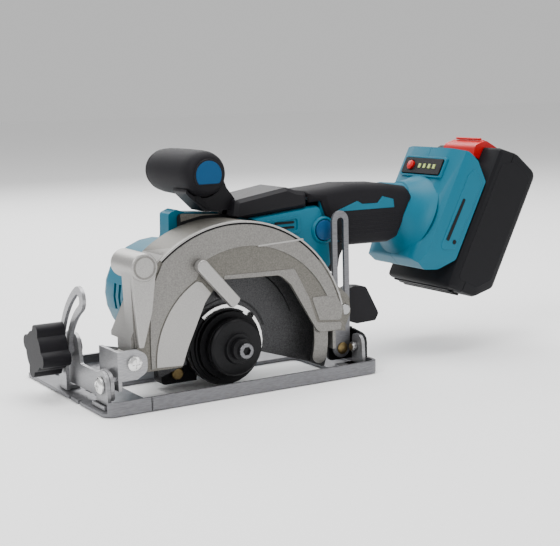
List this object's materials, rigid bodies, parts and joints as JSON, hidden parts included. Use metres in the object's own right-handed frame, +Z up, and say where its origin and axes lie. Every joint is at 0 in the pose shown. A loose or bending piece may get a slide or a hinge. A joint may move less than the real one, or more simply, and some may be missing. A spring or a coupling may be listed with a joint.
{
  "type": "cordless circular saw",
  "caption": "Compact cordless circular saw with a tilting, depth-adjustable blade case on a flat base, a front grip and a slide-on battery behind the handle.",
  "frame": {"origin": "middle of the saw's footprint, on the plane of the sole", "axes": "+X runs from the front edge of the base to the battery, +Y from the blade side to the motor side, +Z up from the sole"},
  "size_m": [0.3753, 0.1406, 0.1559],
  "materials": {
    "zinc": "zinc-plated sheet steel",
    "casting": "tumbled die casting",
    "black_casting": "black painted die casting",
    "steel": "ground steel",
    "black_steel": "black oxide",
    "guard_grey": "dark grey speckled coating",
    "bright": "bright plated",
    "teal": "satin moulded",
    "blue": "smooth moulded",
    "dark_plastic": "fine textured",
    "rubber": "matt overmoulded",
    "pack": "fine textured",
    "red": "moulded red",
    "brass": "plain",
    "copper": "wound laminations",
    "cell": "wrapped",
    "laminate": "stacked laminations"
  },
  "bodies": {
    "base": {"base_plate": "zinc", "bevel_quadrant": "zinc", "front_ear": "zinc", "rear_ear": "zinc", "front_pivot_screw": "bright", "rear_pivot_screw": "bright"},
    "tilt_frame": {"front_bracket": "zinc", "rear_bracket": "black_steel", "bevel_bolt": "steel", "bevel_washer": "bright", "depth_pivot_pin": "bright", "guide_rivet": "brass"},
    "knob": {"bevel_knob": "dark_plastic"},
    "guide": {"depth_guide": "zinc"},
    "lever": {"depth_lever": "dark_plastic"},
    "guard": {"lower_guard": "guard_grey", "guard_lever": "bright"},
    "spindle": {"spindle": "steel", "spindle_gear": "steel", "inner_flange": "black_steel", "outer_flange": "black_steel", "blade_bolt": "steel"},
    "rotor": {"rotor_shaft": "steel", "pinion": "steel", "rotor_core": "laminate", "cooling_fan": "dark_plastic"},
    "trigger": {"trigger": "dark_plastic"},
    "lock_off": {"lock_off_button": "dark_plastic"},
    "shaft_lock": {"spindle_lock": "dark_plastic"},
    "charge_button": {"charge_button": "red"},
    "battery": {"pack_tray": "pack", "pack_cover": "pack", "pack_cells": "cell"},
    "latch": {"release_button": "red"},
    "saw_body": {"depth_bolt": "steel", "blade_case": "casting", "guard_spring": "steel", "hub_plate": "bright", "circlip": "black_steel", "spindle_front_bearing": "steel", "spindle_rear_bearing": "steel", "gear_housing": "black_casting", "gearcase_screw": "brass", "gear_plate": "casting", "stator": "copper", "motor_front_bearing": "steel", "motor_rear_bearing": "steel", "motor_housing": "teal", "handle_left": "teal", "handle_right": "teal", "handle_screw": "black_steel", "grip_rubber": "rubber", "top_cover": "dark_plastic", "switch_body": "dark_plastic", "front_cowl": "teal", "front_handle": "rubber", "front_handle_cap": "blue", "charge_panel": "dark_plastic", "charge_lamps": "red", "terminal_block": "brass"}
  },
  "joints": [
    {"name": "bevel_tilt", "type": "hinge", "parent": "base", "child": "tilt_frame", "pos_m": [-0.07025, -0.05195, 0.0163], "axis": [1, 0, 0], "range_deg": [0, 45]},
    {"name": "bevel_knob_turn", "type": "hinge", "parent": "tilt_frame", "child": "knob", "pos_m": [-0.17525, 0.00311, 0.03105], "axis": [1, 0, 0], "range_deg": [0, 300]},
    {"name": "depth_lift", "type": "hinge", "parent": "tilt_frame", "child": "saw_body", "pos_m": [-0.14615, -0.05035, 0.0293], "axis": [0, -1, 0], "range_deg": [0, 20]},
    {"name": "guide_swing", "type": "hinge", "parent": "tilt_frame", "child": "guide", "pos_m": [0.01803, -0.04535, 0.015], "axis": [0, -1, 0], "range_deg": [0, 10]},
    {"name": "depth_lever_turn", "type": "hinge", "parent": "saw_body", "child": "lever", "pos_m": [0.01808, -0.03535, 0.043], "axis": [0, -1, 0], "range_deg": [0, 45]},
    {"name": "guard_swing", "type": "hinge", "parent": "saw_body", "child": "guard", "pos_m": [-0.06995, -0.04035, 0.0282], "axis": [0, 1, 0], "range_deg": [0, 134]},
    {"name": "spindle_spin", "type": "hinge", "parent": "saw_body", "child": "spindle", "pos_m": [-0.06995, -0.04035, 0.0282], "axis": [0, 1, 0], "continuous": true},
    {"name": "rotor_spin", "type": "hinge", "parent": "saw_body", "child": "rotor", "pos_m": [-0.07495, 0.00965, 0.05331], "axis": [0, 1, 0], "continuous": true},
    {"name": "trigger_pull", "type": "slide", "parent": "saw_body", "child": "trigger", "axis": [1, 0, 0], "range_m": [0, 0.006], "stiffness_N_per_m": 600},
    {"name": "lock_off_press", "type": "slide", "parent": "saw_body", "child": "lock_off", "axis": [0, 1, 0], "range_m": [0, 0.004], "stiffness_N_per_m": 300},
    {"name": "shaft_lock_press", "type": "slide", "parent": "saw_body", "child": "shaft_lock", "axis": [1, 0, 0], "range_m": [0, 0.005], "stiffness_N_per_m": 500},
    {"name": "charge_button_press", "type": "slide", "parent": "saw_body", "child": "charge_button", "axis": [0.8918, 0, -0.4524], "range_m": [0, 0.001], "stiffness_N_per_m": 400},
    {"name": "battery_slide", "type": "slide", "parent": "saw_body", "child": "battery", "axis": [0.4524, 0, 0.8918], "range_m": [0, 0.09]},
    {"name": "latch_press", "type": "slide", "parent": "battery", "child": "latch", "axis": [0.8918, 0, -0.4524], "range_m": [0, 0.0025], "stiffness_N_per_m": 500}
  ],
  "couplings": [
    {"joint": "guide_swing", "follows": "depth_lift", "ratio": 0.5},
    {"joint": "rotor_spin", "follows": "spindle_spin", "ratio": -4.3333}
  ]
}
